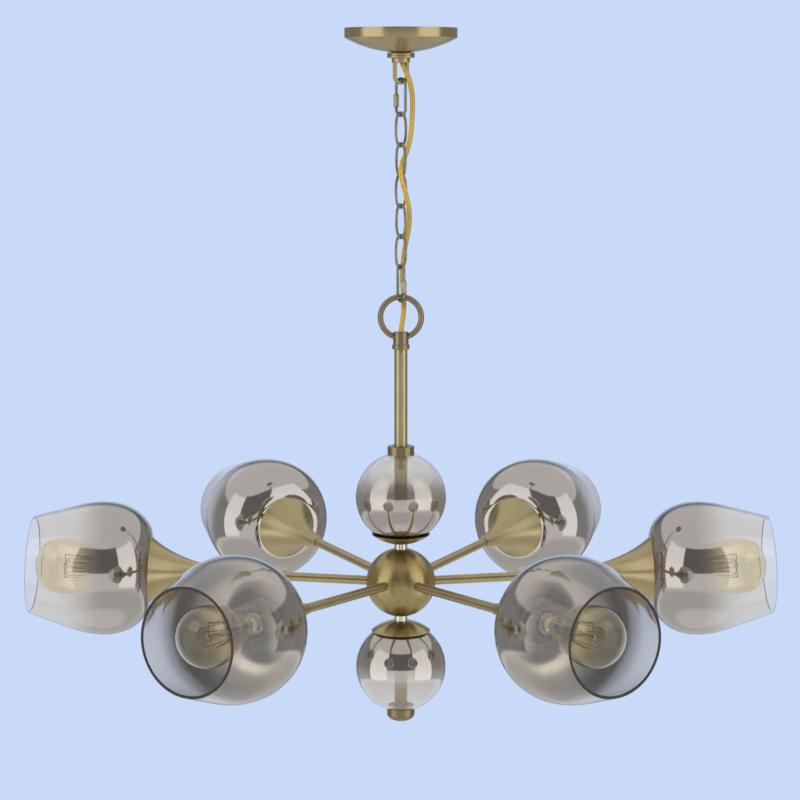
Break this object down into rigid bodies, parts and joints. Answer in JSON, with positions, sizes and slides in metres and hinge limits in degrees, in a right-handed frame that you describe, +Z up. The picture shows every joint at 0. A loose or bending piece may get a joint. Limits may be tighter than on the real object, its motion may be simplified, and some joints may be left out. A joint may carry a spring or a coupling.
{
  "type": "chandelier",
  "caption": "Chain-hung chandelier: a ball hub between glass balls carries straight arms that flare into trumpets with smoked glass shades and filament bulbs.",
  "frame": {"origin": "centre of the ceiling strap's top face, on the ceiling plane and the lamp's axis", "axes": "+Z up out of the ceiling, +X along the strap and the first arm"},
  "size_m": [0.858, 0.7948, 0.798],
  "materials": {
    "antique_brass": "brushed antique brass",
    "chain_brass": "dull antique chain finish",
    "smoked_glass": "smoked, half mirrored near the neck",
    "bulb_glass": "amber filament bulb",
    "cord_jacket": "gold lamp cord",
    "gasket_rubber": "black rubber",
    "socket_shell": "grey moulded",
    "ring_plastic": "dark grey moulded",
    "zinc_steel": "zinc plated",
    "wire_jacket": "white insulation"
  },
  "bodies": {
    "ceiling_mount": {"crossbar": "zinc_steel", "nipple": "zinc_steel", "lock_nut": "zinc_steel", "ground_screw": "zinc_steel", "canopy_loop": "antique_brass", "supply_cord": "cord_jacket"},
    "canopy": {"canopy": "antique_brass"},
    "screw_collar": {"screw_collar": "antique_brass"},
    "quick_link_top": {"quick_link_top": "chain_brass"},
    "quick_link_top_sleeve": {"quick_link_top_sleeve": "chain_brass"},
    "chain_link_1": {"chain_link_1": "chain_brass"},
    "chain_link_2": {"chain_link_2": "chain_brass"},
    "chain_link_3": {"chain_link_3": "chain_brass"},
    "chain_link_4": {"chain_link_4": "chain_brass"},
    "chain_link_5": {"chain_link_5": "chain_brass"},
    "quick_link_bottom": {"quick_link_bottom": "chain_brass"},
    "quick_link_bottom_sleeve": {"quick_link_bottom_sleeve": "chain_brass"},
    "bulb_1": {"bulb_1": "bulb_glass"},
    "bulb_2": {"bulb_2": "bulb_glass"},
    "bulb_3": {"bulb_3": "bulb_glass"},
    "bulb_4": {"bulb_4": "bulb_glass"},
    "bulb_5": {"bulb_5": "bulb_glass"},
    "bulb_6": {"bulb_6": "bulb_glass"},
    "fixture": {"hanging_ring": "antique_brass", "ring_coupling": "antique_brass", "stem_tube": "antique_brass", "upper_ball_collar": "antique_brass", "upper_glass_ball": "smoked_glass", "upper_ball_cup": "antique_brass", "ball_gaskets": "gasket_rubber", "hub_necks": "zinc_steel", "hub_cap": "antique_brass", "hub_body": "antique_brass", "lower_ball_cup": "antique_brass", "lower_glass_ball": "smoked_glass", "lower_ball_sleeve": "antique_brass", "finial": "antique_brass", "centre_rod": "zinc_steel", "sockets": "socket_shell", "shade_rings": "ring_plastic", "arm_nuts": "zinc_steel", "lead_wires": "wire_jacket", "arm_1": "antique_brass", "trumpet_1": "antique_brass", "shade_1": "smoked_glass", "arm_2": "antique_brass", "trumpet_2": "antique_brass", "shade_2": "smoked_glass", "arm_3": "antique_brass", "trumpet_3": "antique_brass", "shade_3": "smoked_glass", "arm_4": "antique_brass", "trumpet_4": "antique_brass", "shade_4": "smoked_glass", "arm_5": "antique_brass", "trumpet_5": "antique_brass", "shade_5": "smoked_glass", "arm_6": "antique_brass", "trumpet_6": "antique_brass", "shade_6": "smoked_glass"}
  },
  "joints": [
    {"name": "canopy_lower", "type": "slide", "parent": "ceiling_mount", "child": "canopy", "axis": [0, 0, -1], "range_m": [0, 0.015]},
    {"name": "screw_collar_turn", "type": "hinge", "parent": "canopy", "child": "screw_collar", "pos_m": [0, 0, -0.0304], "axis": [0, 0, 1], "continuous": true},
    {"name": "quick_link_top_swing", "type": "hinge", "parent": "ceiling_mount", "child": "quick_link_top", "pos_m": [0, 0, -0.06045], "axis": [0.9397, 0.342, 0], "range_deg": [-25, 25], "deforming": ["supply_cord"]},
    {"name": "chain_link_1_swing", "type": "hinge", "parent": "quick_link_top", "child": "chain_link_1", "pos_m": [0, 0, -0.09745], "axis": [0.682, -0.7314, 0], "range_deg": [-25, 25], "deforming": ["supply_cord"]},
    {"name": "chain_link_2_swing", "type": "hinge", "parent": "chain_link_1", "child": "chain_link_2", "pos_m": [0, 0, -0.1317], "axis": [-0.7431, -0.6691, 0], "range_deg": [-25, 25], "deforming": ["supply_cord"]},
    {"name": "chain_link_3_swing", "type": "hinge", "parent": "chain_link_2", "child": "chain_link_3", "pos_m": [0, 0, -0.1661], "axis": [-0.6691, 0.7431, 0], "range_deg": [-25, 25], "deforming": ["supply_cord"]},
    {"name": "chain_link_4_swing", "type": "hinge", "parent": "chain_link_3", "child": "chain_link_4", "pos_m": [0, 0, -0.2005], "axis": [0.7431, 0.6691, 0], "range_deg": [-25, 25], "deforming": ["supply_cord"]},
    {"name": "chain_link_5_swing", "type": "hinge", "parent": "chain_link_4", "child": "chain_link_5", "pos_m": [0, 0, -0.2349], "axis": [0.6691, -0.7431, 0], "range_deg": [-25, 25], "deforming": ["supply_cord"]},
    {"name": "quick_link_bottom_swing", "type": "hinge", "parent": "chain_link_5", "child": "quick_link_bottom", "pos_m": [0, 0, -0.2693], "axis": [-0.7431, -0.6691, 0], "range_deg": [-25, 25], "deforming": ["supply_cord"]},
    {"name": "fixture_swing", "type": "hinge", "parent": "quick_link_bottom", "child": "fixture", "pos_m": [0, 0, -0.30715], "axis": [-0.4695, 0.8829, 0], "range_deg": [-20, 20], "deforming": ["supply_cord"]},
    {"name": "quick_link_top_sleeve_slide", "type": "slide", "parent": "quick_link_top", "child": "quick_link_top_sleeve", "axis": [0, 0, 1], "range_m": [0, 0.008]},
    {"name": "quick_link_bottom_sleeve_slide", "type": "slide", "parent": "quick_link_bottom", "child": "quick_link_bottom_sleeve", "axis": [0, 0, 1], "range_m": [0, 0.008]},
    {"name": "bulb_1_out", "type": "slide", "parent": "fixture", "child": "bulb_1", "axis": [0.9988, 0, 0.0488], "range_m": [0, 0.028]},
    {"name": "bulb_2_out", "type": "slide", "parent": "fixture", "child": "bulb_2", "axis": [0.4994, 0.865, 0.0488], "range_m": [0, 0.028]},
    {"name": "bulb_3_out", "type": "slide", "parent": "fixture", "child": "bulb_3", "axis": [-0.4994, 0.865, 0.0488], "range_m": [0, 0.028]},
    {"name": "bulb_4_out", "type": "slide", "parent": "fixture", "child": "bulb_4", "axis": [-0.9988, 0, 0.0488], "range_m": [0, 0.028]},
    {"name": "bulb_5_out", "type": "slide", "parent": "fixture", "child": "bulb_5", "axis": [-0.4994, -0.865, 0.0488], "range_m": [0, 0.028]},
    {"name": "bulb_6_out", "type": "slide", "parent": "fixture", "child": "bulb_6", "axis": [0.4994, -0.865, 0.0488], "range_m": [0, 0.028]}
  ]
}
